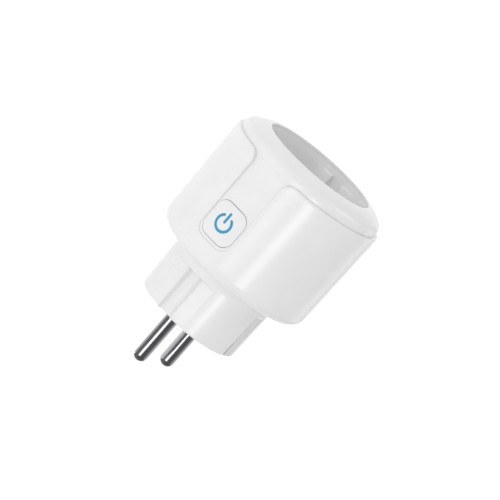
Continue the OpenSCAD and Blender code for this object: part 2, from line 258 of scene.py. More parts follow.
class Skin:
    """Points and faces, gathered a row at a time; bridge() joins two closed rows, fan() closes one."""

    def __init__(self):
        self.points = []
        self.faces = []

    def row(self, points):
        start = len(self.points)
        self.points += points
        return list(range(start, len(self.points)))

    def bridge(self, a, b):
        for i in range(len(a)):
            j = (i + 1) % len(a)
            self.faces.append((a[i], a[j], b[j], b[i]))

    def fan(self, row, point):
        tip = self.row([point])[0]
        for i, corner in enumerate(row):
            self.faces.append((corner, row[(i + 1) % len(row)], tip))


def lathe(skin, profile, angles, centre_x=0.0, closed=False):
    """Turns a profile of (radius, height) points about an axis. Points on the axis close the ends."""
    def point(r, z, t):
        return along_axis(centre_x + r * math.cos(t), r * math.sin(t), z)

    rows = []
    for r, z in profile:
        if r > 0:
            rows.append(skin.row([point(r, z, t) for t in angles]))
    for a, b in zip(rows, rows[1:]):
        skin.bridge(a, b)
    if closed:
        skin.bridge(rows[-1], rows[0])
    if profile[0][0] == 0:
        skin.fan(rows[0], point(0, profile[0][1], 0))
    if profile[-1][0] == 0:
        skin.fan(rows[-1], point(0, profile[-1][1], 0))


def even(count):
    return [2 * math.pi * i / count for i in range(count)]


def inside(points, loops):
    """Which of the points lie within the loops, by the even-odd rule."""
    hit = np.zeros(len(points), bool)
    x, y = points[:, 0], points[:, 1]
    for loop in loops:
        for (x0, y0), (x1, y1) in zip(loop, loop[1:] + loop[:1]):
            if y0 != y1:
                crosses = (y0 > y) != (y1 > y)
                hit ^= crosses & (x < (x1 - x0) * (y - y0) / (y1 - y0) + x0)
    return hit


def inward(loop, i):
    """Unit vector at a loop's point that leads into the material on the loop's left."""
    before, here, after = (np.array(loop[(i + k) % len(loop)]) for k in (-1, 0, 1))
    a, b = here - before, after - here
    a, b = a / np.linalg.norm(a), b / np.linalg.norm(b)
    normal = np.array((-(a + b)[1], (a + b)[0]))
    return normal / np.linalg.norm(normal)


def plate(skin, loops, place, edge, depth, grid=(1.2, 2.5), seam=(), steps=4):
    """A plate with rounded edges and any outline, with holes, laid on a flat or curved face.

    Each loop has its material on its left. place(u, v, d) gives the point at depth d below the face.
    edge is how far the rounding reaches in from the outline and how far it drops below the face.
    Points whose (u, v) is in seam are where the plate runs on into its neighbour, so they stay sharp.
    """
    seam = set(seam)
    reach, drop = edge
    rows = []
    offset_loops = []
    flat = []
    walls = []
    for loop in loops:
        free = [p not in seam for p in loop]
        normals = [inward(loop, i) for i in range(len(loop))]

        def ring(shift, down):
            moved = [
                (p[0] + n[0] * shift * f, p[1] + n[1] * shift * f) for p, n, f in zip(loop, normals, free)
            ]
            return moved, skin.row([place(*q, down * f) for q, f in zip(moved, free)])

        floor_row = skin.row([place(*p, depth) for p in loop])
        last = None
        for k in range(steps + 1):
            turn = math.radians(90 * k / steps)
            moved, row = ring(reach * (1 - math.cos(turn)), drop * (1 - math.sin(turn)))
            previous = floor_row if last is None else last
            for i in range(len(loop)):
                j = (i + 1) % len(loop)
                if free[i] or free[j]:
                    walls.append((previous[i], previous[j], row[j], row[i]))
            last = row
        rows.append((last, floor_row))
        offset_loops.append(moved)
        flat += moved

    outline = np.array(flat)
    low_u, low_v = outline.min(0)
    high_u, high_v = outline.max(0)
    columns = max(2, round((high_u - low_u) / grid[0]))
    levels = max(2, round((high_v - low_v) / grid[1]))
    inner = np.array([
        (low_u + (high_u - low_u) * i / columns, low_v + (high_v - low_v) * j / levels)
        for i in range(1, columns) for j in range(1, levels)
    ])
    inner = inner[inside(inner, offset_loops)]
    if len(inner):
        gap = np.array([np.hypot(*(outline - p).T).min() for p in inner])
        inner = inner[gap > 0.45 * min(grid)]
    edges = []
    start = 0
    for loop in offset_loops:
        edges += [(start + i, start + (i + 1) % len(loop)) for i in range(len(loop))]
        start += len(loop)
    corners = [Vector(p) for p in flat] + [Vector(p) for p in inner]
    points, _, triangles, origin, _, _ = delaunay_2d_cdt(corners, edges, [], 0, 1e-6)
    centres = np.array([np.mean([points[k] for k in t], axis=0) for t in triangles])
    kept = [t for t, ok in zip(triangles, inside(centres, offset_loops)) if ok]
    face_row = [k for row, _ in rows for k in row] + skin.row([place(*p, 0) for p in inner])
    back_row = [k for _, row in rows for k in row] + skin.row([place(*p, depth) for p in inner])
    for t in kept:
        here = [origin[k][0] for k in t]
        skin.faces.append(tuple(face_row[k] for k in here))
        skin.faces.append(tuple(back_row[k] for k in reversed(here)))
    skin.faces += walls


def make_object(name, skin):
    """Makes a closed, smooth-shaded object of a skin, with its seams welded."""
    mesh = bpy.data.meshes.new(name)
    mesh.from_pydata([tuple(p) for p in skin.points], [], skin.faces)
    shape = bmesh.new()
    shape.from_mesh(mesh)
    bmesh.ops.remove_doubles(shape, verts=shape.verts, dist=2e-7)
    bmesh.ops.dissolve_degenerate(shape, edges=shape.edges, dist=1e-7)
    bmesh.ops.recalc_face_normals(shape, faces=shape.faces)
    shape.to_mesh(mesh)
    shape.free()
    mesh.shade_smooth()
    mesh.set_sharp_from_angle(angle=math.radians(SMOOTH_DEG))
    piece = bpy.data.objects.new(name, mesh)
    bpy.context.scene.collection.objects.link(piece)
    return piece


def finish_piece(piece, material, body, slot, *nodes):
    """Gives a built piece its finish and the body it rides on, and hides the CAD nodes it stands for."""
    piece.data.materials.clear()
    piece.data.materials.append(material)
    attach(piece, body)
    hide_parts(*nodes)
    return piece


# ---------- materials ----------

class Paint:
    """A node material built step by step round one Principled shader."""

    def __init__(self, name):
        self.material = bpy.data.materials.new(name)
        self.material.use_nodes = True
        self.tree = self.material.node_tree
        self.shader = self.tree.nodes["Principled BSDF"]
        self.coordinates = self.tree.nodes.new("ShaderNodeTexCoord").outputs["Object"]

    def node(self, kind, **values):
        made = self.tree.nodes.new(kind)
        for key, value in values.items():
            if key in made.inputs:
                made.inputs[key].default_value = value
            else:
                setattr(made, key, value)
        return made

    def link(self, a, b):
        self.tree.links.new(a, b)

    def stretched(self, scale):
        mapping = self.node("ShaderNodeMapping")
        mapping.inputs["Scale"].default_value = scale
        self.link(self.coordinates, mapping.inputs["Vector"])
        return mapping.outputs["Vector"]

    def noise(self, size_mm, detail=3.0, stretch=None):
        source = self.stretched(stretch) if stretch else self.coordinates
        made = self.node("ShaderNodeTexNoise", Scale=1 / (size_mm * MM), Detail=detail, Roughness=0.55)
        self.link(source, made.inputs["Vector"])
        return made.outputs["Fac"]

    def between(self, factor, dark, light, start=0.3, stop=0.7):
        ramp = self.node("ShaderNodeValToRGB")
        ramp.color_ramp.elements[0].position = start
        ramp.color_ramp.elements[1].position = stop
        ramp.color_ramp.elements[0].color = (*dark, 1)
        ramp.color_ramp.elements[1].color = (*light, 1)
        self.link(factor, ramp.inputs["Fac"])
        return ramp.outputs["Color"]

    def span(self, factor, start, stop):
        made = self.node("ShaderNodeMapRange")
        made.inputs["To Min"].default_value = start
        made.inputs["To Max"].default_value = stop
        self.link(factor, made.inputs["Value"])
        return made.outputs["Result"]

    def colour(self, output):
        self.link(output, self.shader.inputs["Base Color"])

    def roughness(self, output):
        self.link(output, self.shader.inputs["Roughness"])

    def bump(self, height, depth_mm):
        made = self.node("ShaderNodeBump", Strength=1.0, Distance=depth_mm * MM)
        self.link(height, made.inputs["Height"])
        self.link(made.outputs["Normal"], self.shader.inputs["Normal"])

    def set(self, **values):
        for key, value in values.items():
            self.shader.inputs[key.replace("_", " ")].default_value = value


def tint(colour, change):
    """The colour made lighter, or darker where change is below zero, by that share of itself."""
    return tuple(min(1.0, max(0.0, c * (1 + change))) for c in colour)


def moulded(name, colour, rough=0.42, variation=0.015, grain_mm=0.12, grain_depth=0.002):
    """Moulded plastic: a fine spark-eroded grain, and slow changes of tone and gloss."""
    paint = Paint(name)
    paint.colour(paint.between(paint.noise(9), tint(colour, -variation), tint(colour, variation)))
    paint.roughness(paint.span(paint.noise(3), rough - 0.04, rough + 0.05))
    paint.bump(paint.noise(grain_mm, detail=2), grain_depth)
    paint.set(IOR=1.6)
    return paint.material


def metal(name, colour, rough, brush=(1, 1, 1), grain_mm=0.25, grain_depth=0.002):
    """Plated or stamped metal: fine marks along one direction, and a slightly uneven polish."""
    paint = Paint(name)
    paint.colour(paint.between(paint.noise(2.5), tint(colour, -0.06), tint(colour, 0.03)))
    marks = paint.noise(grain_mm, detail=4, stretch=brush)
    paint.roughness(paint.span(marks, rough - 0.05, rough + 0.08))
    paint.bump(marks, grain_depth)
    paint.set(Metallic=1.0)
    return paint.material


def lacquered(name, colour, rough=0.25):
    """A dipped or shrunk skin: glossy, with a soft ripple."""
    paint = Paint(name)
    paint.colour(paint.between(paint.noise(4), tint(colour, -0.12), tint(colour, 0.08)))
    paint.roughness(paint.span(paint.noise(1.2), rough - 0.05, rough + 0.1))
    paint.bump(paint.noise(1.5, detail=1), 0.02)
    paint.set(Coat_Weight=0.3)
    return paint.material


def circuit_board(name, colour):
    """Solder mask over copper: tracks show as slightly lighter, raised lines."""
    paint = Paint(name)
    tracks = paint.node("ShaderNodeTexVoronoi", feature="DISTANCE_TO_EDGE", distance="MANHATTAN", Scale=420)
    paint.link(paint.coordinates, tracks.inputs["Vector"])
    lines = paint.span(tracks.outputs["Distance"], 1, 0)
    paint.colour(paint.between(lines, colour, tint(colour, 0.9), 0.9, 0.95))
    paint.roughness(paint.span(paint.noise(0.8), 0.3, 0.42))
    paint.bump(lines, 0.02)
    return paint.material


def wound(name, colour):
    """Enamelled wire laid side by side: bands across the winding's axis."""
    paint = Paint(name)
    scale = 1 / (COIL_WIRE * MM) / WAVE_RATE
    bands = paint.node("ShaderNodeTexWave", bands_direction="Z", Scale=scale, Distortion=0.3)
    paint.link(paint.coordinates, bands.inputs["Vector"])
    paint.colour(paint.between(bands.outputs["Fac"], tint(colour, -0.5), colour))
    paint.roughness(paint.span(bands.outputs["Fac"], 0.25, 0.4))
    paint.bump(bands.outputs["Fac"], 0.08)
    paint.set(Metallic=0.8)
    return paint.material


def clear(name, colour, rough=0.08):
    """Clear moulding for the light guide and the lamps."""
    paint = Paint(name)
    paint.colour(paint.between(paint.noise(3), tint(colour, -0.04), colour))
    paint.roughness(paint.span(paint.noise(1), rough, rough + 0.06))
    paint.bump(paint.noise(0.6), 0.004)
    paint.set(Transmission_Weight=0.85, IOR=1.49)
    return paint.material


WHITE = (0.79, 0.79, 0.795)
materials = {
    "white_shell": moulded("white_shell", WHITE, 0.24),
    "white_button": moulded("white_button", WHITE, 0.24, grain_depth=0.0012),
    "well_plastic": moulded("well_plastic", (0.82, 0.82, 0.825), 0.35),
    "icon_teal": moulded("icon_teal", (0.0075, 0.29, 0.48), 0.3, variation=0.06, grain_depth=0.001),
    "grey_nylon": moulded("grey_nylon", (0.32, 0.33, 0.34), 0.5),
    "shutter_plastic": moulded("shutter_plastic", (0.62, 0.62, 0.6), 0.45),
    "relay_blue": moulded("relay_blue", (0.02, 0.09, 0.42), 0.3),
    "black_plastic": moulded("black_plastic", (0.02, 0.02, 0.022), 0.45),
    "chip_epoxy": moulded("chip_epoxy", (0.018, 0.018, 0.02), 0.55, grain_mm=0.08),
    "film_yellow": moulded("film_yellow", (0.62, 0.4, 0.03), 0.32),
    "ferrite": moulded("ferrite", (0.03, 0.03, 0.033), 0.6, grain_mm=0.3, grain_depth=0.02),
    "nickel_plate": metal("nickel_plate", (0.5, 0.5, 0.5), 0.22, brush=(1, 0.06, 1)),
    # the pins' metal colour is painted nearly black, far darker than real bright nickel: painted shade that
    # stands in for the dark reflections along their flanks
    "dark_reflection_pin": metal("dark_reflection_pin", (0.105, 0.105, 0.11), 0.14, grain_mm=0.6, grain_depth=0.0003),
    "copper": metal("copper", (0.8, 0.42, 0.27), 0.28, brush=(1, 0.1, 1)),
    "contact_brass": metal("contact_brass", (0.78, 0.6, 0.28), 0.26, brush=(1, 0.1, 1)),
    "spring_steel": metal("spring_steel", (0.5, 0.5, 0.48), 0.24, brush=(1, 1, 0.1)),
    "screw_steel": metal("screw_steel", (0.58, 0.59, 0.6), 0.3),
    "soft_iron": metal("soft_iron", (0.36, 0.36, 0.37), 0.38, brush=(0.1, 1, 1)),
    "shield_tin": metal("shield_tin", (0.62, 0.62, 0.63), 0.34, brush=(1, 0.15, 1)),
    "capacitor_sleeve": lacquered("capacitor_sleeve", (0.02, 0.025, 0.05)),
    "varistor_blue": lacquered("varistor_blue", (0.01, 0.09, 0.36), 0.35),
    "resistor_lacquer": lacquered("resistor_lacquer", (0.5, 0.36, 0.2), 0.3),
    "board_green": circuit_board("board_green", (0.006, 0.11, 0.035)),
    "board_blue": circuit_board("board_blue", (0.004, 0.02, 0.11)),
    "coil_winding": wound("coil_winding", (0.6, 0.22, 0.08)),
    "clear_guide": clear("clear_guide", (0.86, 0.9, 0.92)),
    "led_lens": clear("led_lens", (0.9, 0.86, 0.6), 0.15),
}


# ---------- rear shell ----------

def sleeve_r(z):
    """The sleeve's slightly tapered outside."""
    share = (z - JOIN_Z) / (TAPER_END - JOIN_Z)
    return SLEEVE_FOOT_R + (SLEEVE_R - SLEEVE_FOOT_R) * min(share, 1)


def sleeve_bore(z):
    """The sleeve's inside, which steps out at its mouth to take the front shell."""
    return MOUTH_BORE if z >= STEP_Z - STEP_GAP else SLEEVE_BORE


def wrapped(surface_r, back_r=None):
    """A place() for plate(): u runs round the plug at UNROLL_R, v along its axis.

    Where back_r is given, whatever lies deeper than a millimetre is the plate's back, at that radius.
    """
    def place(u, v, d):
        r = surface_r(v) - d
        if back_r and d > 1:
            r = back_r(v)
        turn = u / UNROLL_R
        return along_axis(r * math.cos(turn), r * math.sin(turn), v)

    return place


def notch_edge(gap):
    """The notch's edge from its left mouth corner, down round its foot and up to its right one."""
    mouth = (NOTCH_HALF + NOTCH_ROUND, SLEEVE_TOP - NOTCH_ROUND)
    foot = (NOTCH_HALF - NOTCH_ROUND, NOTCH_FOOT + NOTCH_ROUND)
    mouth_end = 180 - math.degrees(math.asin(NOTCH_ROUND / (NOTCH_ROUND + gap)))
    right = arc(foot, NOTCH_ROUND - gap, -90, 0, 12) + arc(mouth, NOTCH_ROUND + gap, 180, mouth_end, 12)
    left = [(-u, v) for u, v in reversed(right)]
    return spaced(left + right, 1.0)


def nose_angles():
    """Even steps round the plug, with extra ones beside each edge that runs along the nose."""
    turns = [NOSE_STEP_DEG * i for i in range(round(360 / NOSE_STEP_DEG))]
    for side in (0, 180):
        for edge in (GROOVE_HALF_DEG, PANEL_END_DEG, 90 - EARTH_HALF_DEG):
            for sign in (-1, 1):
                at = side + sign * edge
                turns = [t for t in turns if abs((t - at + 180) % 360 - 180) > 0.5]
                turns += [(at + shift) % 360 for shift in NOSE_EDGE_SHIFTS]
    return [math.radians(t) for t in sorted(turns)]


def nose_depth(turn, r):
    """How far the nose's surface lies below its round outline at this angle."""
    deg = math.degrees(turn)
    from_line = abs((deg + 90) % 180 - 90)
    from_earth = abs(from_line - 90)

    def edge(distance, slope_deg=GROOVE_WALL_DEG):
        return min(1, max(0, distance / slope_deg))

    if from_line < GROOVE_HALF_DEG:
        floor = (NOSE_R - GROOVE_DEPTH) / math.cos(math.radians(from_line))
        return (r - floor) * edge(GROOVE_HALF_DEG - from_line)
    if from_line < PANEL_END_DEG:
        middle = (GROOVE_HALF_DEG + PANEL_END_DEG) / 2
        floor = (NOSE_R - PANEL_DEPTH) / math.cos(math.radians(from_line - middle))
        fade = edge(PANEL_END_DEG - from_line, PANEL_FADE_DEG)
        return (r - floor) * min(fade, edge(from_line - GROOVE_HALF_DEG))
    if from_earth < EARTH_HALF_DEG:
        floor = EARTH_FLOOR / math.cos(math.radians(from_earth))
        return (r - floor) * edge(EARTH_HALF_DEG - from_earth)
    return 0


def rear_shell():
    """The nose with its flats and grooves, the flare, and the sleeve with the notch for the button."""
    skin = Skin()
    angles = nose_angles()

    def round_row(r, z, share=0.0, inset=0.0):
        points = []
        for t in angles:
            here = r - inset - (share * nose_depth(t, r) if share else 0)
            points.append(along_axis(here * math.cos(t), here * math.sin(t), z))
        return skin.row(points)

    def nose_r(z):
        return NOSE_R + (NOSE_TOP_R - NOSE_R) * z / (NOSE_LEN - FLARE_R)

    rows = []
    for inset, z in arc((0, NOSE_EDGE), NOSE_EDGE, -90, 0, 6):
        rows.append(round_row(nose_r(z), z, 1.0, NOSE_EDGE - inset))
    skin.fan(rows[0], along_axis(0, 0, 0))
    for z, share in NOSE_LEVELS:
        rows.append(round_row(nose_r(z), z, share))
    for r, z in arc((NOSE_TOP_R + FLARE_R, NOSE_LEN - FLARE_R), FLARE_R, 180, 90, 14):
        rows.append(round_row(r, z))
    for r, z in arc((SLEEVE_FOOT_R - FOOT_ROUND, JOIN_Z), FOOT_ROUND, -90, 0, 16):
        rows.append(round_row(r, z))
    for a, b in zip(rows, rows[1:]):
        skin.bridge(a, b)
    inner = [round_row(r, z) for r, z in (
        (SLEEVE_BORE, JOIN_Z), (CAVITY_R, JOIN_Z), (CAVITY_R, LEDGE_Z), (NOSE_BORE, LEDGE_Z),
        (NOSE_BORE, NOSE_FLOOR))]
    for a, b in zip(inner, inner[1:]):
        skin.bridge(a, b)
    skin.fan(inner[-1], along_axis(0, 0, NOSE_FLOOR))

    back = math.pi * UNROLL_R
    around = sorted((t - 2 * math.pi if t >= math.pi else t) * UNROLL_R for t in angles)
    around = [u for u in around if abs(abs(u) - back) > 1e-6]
    levels = [JOIN_Z + (SLEEVE_TOP - SLEEVE_EDGE - JOIN_Z) * i / 12 for i in range(13)]
    top = SLEEVE_TOP
    edge = notch_edge(0)[::-1]
    line = [(back, top)] + [(u, top) for u in reversed(around) if u > edge[0][0] + 0.3] + edge
    line += [(u, top) for u in reversed(around) if u < edge[-1][0] - 0.3] + [(-back, top)]
    left = [(-back, v) for v in reversed(levels[1:])]
    foot = [(-back, JOIN_Z)] + [(u, JOIN_Z) for u in around] + [(back, JOIN_Z)]
    right = [(back, v) for v in levels[1:]]
    plate(skin, [line + left + foot + right], wrapped(sleeve_r, sleeve_bore), (SLEEVE_EDGE, SLEEVE_DROP),
          SLEEVE_WALL, seam=left + foot + right, steps=7)
    return make_object("rear_shell", skin)


# ---------- front shell ----------

def strip_r(v):
    """The outside of the strip that fills the notch."""
    share = (v - NOTCH_FOOT) / (STRIP_END - NOTCH_FOOT)
    return STRIP_FOOT_R + (RING_R - STRIP_FOOT_R) * min(1, max(0, share))


def front_shell():
    """The ring round the socket, the skirt under the sleeve, and the strip that holds the button."""
    skin = Skin()
    shoulder = (RING_R - SHOULDER_R, SLEEVE_TOP + SHOULDER_LIFT)
    outer = arc(shoulder, SHOULDER_R, 0, 70, 14)
    lip = (WELL_R + LIP_ROUND, RIM_Z)
    ledge_r = WELL_R + LIP_LEDGE
    profile = [(SKIRT_R, SKIRT_FOOT), (SKIRT_R, STEP_Z - 0.1), (RING_R, STEP_Z)]
    profile += outer + bowed(outer[-1], lip, RING_BOW, 12)
    profile += arc((lip[0], lip[1] - LIP_ROUND), LIP_ROUND, 90, 180, 6)
    profile += [(WELL_R, INSERT_TOP + 0.01), (ledge_r, INSERT_TOP + 0.01), (ledge_r, LIP_LEDGE_FOOT),
                (shoulder[0], RING_CEILING), (CAVITY_R, RING_WALL_TOP), (CAVITY_R, SKIRT_FOOT)]
    lathe(skin, profile, even(288), closed=True)
    shell = make_object("front_shell", skin)

    hole = round_square(BUTTON_W + 2 * BUTTON_GAP, BUTTON_ROUND + BUTTON_GAP)
    cutter_skin = Skin()
    ends = [cutter_skin.row([along_axis(x, u, v + BUTTON_Z) for u, v in hole]) for x in (20, 32)]
    cutter_skin.bridge(*ends)
    cutter_skin.faces += [tuple(ends[0]), tuple(reversed(ends[1]))]
    cutter = make_object("button_cutter", cutter_skin)
    cut_out(shell, cutter)

    strip = Skin()
    edge = notch_edge(STRIP_GAP)
    top = [(u, SLEEVE_TOP) for u, _ in spaced([(edge[-1][0], 0), (edge[0][0], 0)], 1.0)[1:-1]]
    opening = [(u, v + BUTTON_Z) for u, v in reversed(hole)]
    plate(strip, [edge + top, opening], wrapped(strip_r, lambda v: SKIRT_R), (0.06, 0.06),
          STRIP_DEPTH, grid=(0.8, 1.5), seam=top + [edge[0], edge[-1]])
    return join(shell, make_object("button_strip", strip))


def cut_out(piece, cutter):
    """Takes the cutter's solid out of the piece."""
    cut = piece.modifiers.new("cut", "BOOLEAN")
    cut.object = cutter
    cut.operation = "DIFFERENCE"
    cut.solver = "EXACT"
    apply_modifiers(piece)
    bpy.data.objects.remove(cutter)


def apply_modifiers(piece):
    """Bakes a built piece's modifiers into its mesh."""
    bpy.context.view_layer.update()
    solved = piece.evaluated_get(bpy.context.evaluated_depsgraph_get())
    piece.data = bpy.data.meshes.new_from_object(solved)
    piece.modifiers.clear()


def join(first, *others):
    """Makes one object of several, each keeping its own closed surface."""
    shape = bmesh.new()
    for piece in (first, *others):
        apply_modifiers(piece)
        shape.from_mesh(piece.data)
    shape.to_mesh(first.data)
    shape.free()
    for piece in others:
        bpy.data.objects.remove(piece)
    first.data.shade_smooth()
    first.data.set_sharp_from_angle(angle=math.radians(SMOOTH_DEG))
    return first


# ---------- socket well ----------

def guide_flat(sx, sy):
    """Half of a guide: a flat that closes off the well's side, from its middle groove to the round wall."""
    outer = WELL_R + GUIDE_BACK
    groove = GUIDE_GAP / 2
    reach = math.degrees(math.acos(GUIDE_FLAT / outer))
    start = math.degrees(math.asin(groove / outer))
    outline = arc((GUIDE_FLAT + GUIDE_ROUND, groove + GUIDE_ROUND), GUIDE_ROUND, 180, 270, 4)
    outline += arc((0, 0), outer, start, reach, 12)
    if sx * sy < 0:
        outline.reverse()
    skin = Skin()
    rows = []
    for z, inset in ((WELL_FLOOR - GUIDE_SINK, 0), (GUIDE_TOP - GUIDE_ROUND, 0), (GUIDE_TOP - 0.28, 0.04),
                     (GUIDE_TOP - 0.12, 0.14), (GUIDE_TOP - 0.03, 0.26), (GUIDE_TOP, GUIDE_ROUND)):
        rows.append(skin.row([along_axis(sx * min(x + inset, outer), sy * y, z) for x, y in outline]))
    for a, b in zip(rows, rows[1:]):
        skin.bridge(a, b)
    skin.faces += [tuple(reversed(rows[0])), tuple(rows[-1])]
    return make_object("guide_flat", skin)


def socket_well():
    """The round wall, unrolled with its two clip slots, the floor with its entries, and the guides."""
    back = math.pi * UNROLL_R
    slot_half = CLIP_SLOT_HALF / WELL_R * UNROLL_R
    quarter = back / 2
    foot, top = WELL_FLOOR - WELL_FLOOR_T, INSERT_TOP
    across = spaced([(-back, foot), (back, foot)], 1.4)
    side_levels = [foot + (top - foot) * i / 8 for i in range(9)]
    right = [(back, v) for v in side_levels[1:-1]]
    left = [(-back, v) for v in reversed(side_levels[1:-1])]
    rim = [(-u, top) for u, _ in across]
    slots = []
    for middle in (-quarter, quarter):
        near, far = middle - slot_half, middle + slot_half
        corners = [(near, CLIP_SLOT_FOOT), (near, CLIP_SLOT_TOP), (far, CLIP_SLOT_TOP),
                   (far, CLIP_SLOT_FOOT), (near, CLIP_SLOT_FOOT)]
        slots.append(spaced(corners, 1.0)[:-1])

    def place(u, v, d):
        turn = u / UNROLL_R
        return along_axis((WELL_R + d) * math.cos(turn), (WELL_R + d) * math.sin(turn), v)

    wall = Skin()
    plate(wall, [across + right + rim + left, *slots], place, (0.03, 0.03), WELL_WALL, grid=(1.4, 2.5),
          seam=right + left)
    pieces = [make_object("socket_well", wall)]

    def floor_place(u, v, d):
        return along_axis(u, v, WELL_FLOOR - d)

    floor = Skin()
    entries = [circle(ENTRY_R, 40, (side * PIN_X, 0))[::-1] for side in (-1, 1)]
    plate(floor, [circle(WELL_R + FLOOR_SEAT, 120), *entries], floor_place, (0.3, 0.3), WELL_FLOOR_T,
          grid=(2, 2))
    pieces.append(make_object("well_floor", floor))
    pieces += [guide_flat(sx, sy) for sx in (-1, 1) for sy in (-1, 1)]
    return join(*pieces)


# ---------- pins ----------

def contact_pin(name, x):
    """A pin turned from its domed tip to the collar and tail that hold it inside the nose."""
    tip = arc((0, PIN_R - PIN_LEN), PIN_R, -90, 0, 16)
    neck = [(PIN_R, 0), (PIN_NECK_R, 0), (PIN_NECK_R, NOSE_FLOOR), (PIN_COLLAR_R, NOSE_FLOOR),
            (PIN_COLLAR_R, PIN_COLLAR_TOP), (PIN_GROOVE_R, PIN_COLLAR_TOP), (PIN_GROOVE_R, PIN_TAIL_FOOT),
            (PIN_TAIL_R, PIN_TAIL_FOOT), (PIN_TAIL_R - PIN_TAIL_CHAMFER, PIN_TAIL_END)]
    skin = Skin()
    lathe(skin, [(0, -PIN_LEN)] + tip[1:] + neck + [(0, PIN_TAIL_END)], even(72), centre_x=x)
    return make_object(name, skin)


# ---------- shutter spring ----------

def shutter_spring():
    """A wire coil between the shutter and the end of its pocket."""
    skin = Skin()
    rows = []
    span = SPRING_STOP - SPRING_START - 2 * SPRING_WIRE
    steps = 24 * SPRING_TURNS
    for i in range(steps + 1):
        turn = 2 * math.pi * SPRING_TURNS * i / steps
        middle = SPRING_START + SPRING_WIRE + span * i / steps
        rows.append(skin.row([along_axis((SPRING_R + out) * math.cos(turn), middle + along,
                                         SPRING_Z + (SPRING_R + out) * math.sin(turn))
                              for out, along in circle(SPRING_WIRE, 8)]))
    for a, b in zip(rows, rows[1:]):
        skin.bridge(a, b)
    skin.faces += [tuple(reversed(rows[0])), tuple(rows[-1])]
    return make_object("shutter_coil", skin)


# ---------- button ----------

def button():
    """The key's face, its hollow wall, the flange that keeps it in, and the post that works the switch."""
    face = Skin()
    outline = [(u, v + BUTTON_Z) for u, v in spaced(round_square(BUTTON_W, BUTTON_ROUND, 12), 0.8)]
    plate(face, [outline], wrapped(lambda v: BUTTON_FACE_R), (0.45, 0.25), BUTTON_FACE_R - CAP_WALL_X - 0.1,
          grid=(0.7, 0.9), steps=5)
    pieces = [make_object("button_key", face)]

    def walls(name, outer, outer_round, x_top, x_foot):
        def place(u, v, d):
            return along_axis(x_top - d, u, v + BUTTON_Z)

        ring = Skin()
        plate(ring, [round_square(outer, outer_round), round_square(CAP_CAVITY, CAP_CAVITY_ROUND)[::-1]],
              place, (0.1, 0.1), x_top - x_foot)
        return make_object(name, ring)

    pieces.append(walls("key_wall", BUTTON_W, BUTTON_ROUND, CAP_WALL_X + 0.3, CAP_FOOT_X))
    pieces.append(walls("key_flange", BUTTON_W + 2 * FLANGE_REACH, FLANGE_ROUND, FLANGE_X, CAP_FOOT_X))

    def post_place(u, v, d):
        return along_axis(CAP_WALL_X + 0.2 - d, u, v + BUTTON_Z)

    post = Skin()
    plate(post, [circle(KEY_POST_R, 40)], post_place, (0.1, 0.1), KEY_POST_LEN)
    pieces.append(make_object("key_post", post))
    return join(*pieces)


def power_symbol():
    """A ring open at the top with an upright bar, inlaid in the button."""
    half = ICON_LINE / 2
    start, stop = 90 + ICON_OPEN, 450 - ICON_OPEN

    def end(angle, turn_from):
        at = arc((0, 0), ICON_R, angle, angle, 1)[0]
        return arc(at, half, turn_from, turn_from + 180, 8)[1:-1]

    ring = arc((0, 0), ICON_R + half, start, stop, 60)
    ring += end(stop, stop)
    ring += arc((0, 0), ICON_R - half, stop, start, 60)
    ring += end(start, start + 180)
    bar = arc((0, ICON_BAR - half), half, 0, 180, 10) + arc((0, half), half, 180, 360, 10)
    skin = Skin()
    for outline in (ring, bar):
        lifted = [(u, v + BUTTON_Z) for u, v in spaced(outline + outline[:1], 0.4)[:-1]]
        plate(skin, [lifted], wrapped(lambda v: BUTTON_FACE_R + ICON_PROUD), (0.04, 0.04), 0.6,
              grid=(0.3, 0.3), steps=2)
    return make_object("power_symbol", skin)


# ---------- carried-over parts ----------

def dress(node, bevel_mm):
    """Gives a CAD node its finish and, where it is stamped or moulded, a small edge radius."""
    part = frame["nodes"][node]
    slot = next(s["material_slot"] for s in frame["record"]["subparts"] if s["node"] == node)
    part.data.materials.clear()
    part.data.materials.append(materials[slot])
    part.data.polygons.foreach_set("material_index", [0] * len(part.data.polygons))
    custom = part.data.attributes.get("custom_normal")
    if custom:
        part.data.attributes.remove(custom)
    part.data.shade_smooth()
    weld = part.modifiers.new("weld", "WELD")
    weld.merge_threshold = 1e-6
    if bevel_mm:
        bevel = part.modifiers.new("edge", "BEVEL")
        bevel.width = bevel_mm * MM
        bevel.segments = 2
        bevel.limit_method = "ANGLE"
        bevel.angle_limit = math.radians(40)
        bevel.harden_normals = True


# ---------- stage ----------

FLOOR_GLOW = 0.76
SURROUND_GLOW = 0.665
PANEL_DISTANCE = 1.8
PIN_RISE_DEG = -11
PIN_CARD_HEIGHT = -27.0

# name, power in watts, turn and rise in degrees, width and length in metres
BODY_PANELS = (
    ("side_panel", 2.9, 20, 0, 0.6, 1.4),
    ("near_side_panel", 1.2, 16, -8, 0.3, 1.2),
    ("edge_strip", 4.9, 47, -13, 0.36, 1.0),
    ("back_panel", 1.6, 160, 0, 0.6, 1.4),
    ("rim_lamp", 3.2, 120, 50, 0.8, 0.8),
)
PIN_PANELS = (
    ("pin_line", 58, 8, PIN_RISE_DEG, 1.5, 1.2),
    ("pin_near_edge", 2.5, 112, PIN_RISE_DEG, 0.83, 1.2),
    ("pin_far_edge", 12, 148, PIN_RISE_DEG, 1.45, 1.2),
)
# name, power in watts, place on the x axis and width in millimetres
PIN_CARDS = (
    ("pin_floor_near", 0.009, 18, 20),
    ("pin_floor_far", 0.016, -5, 26),
)


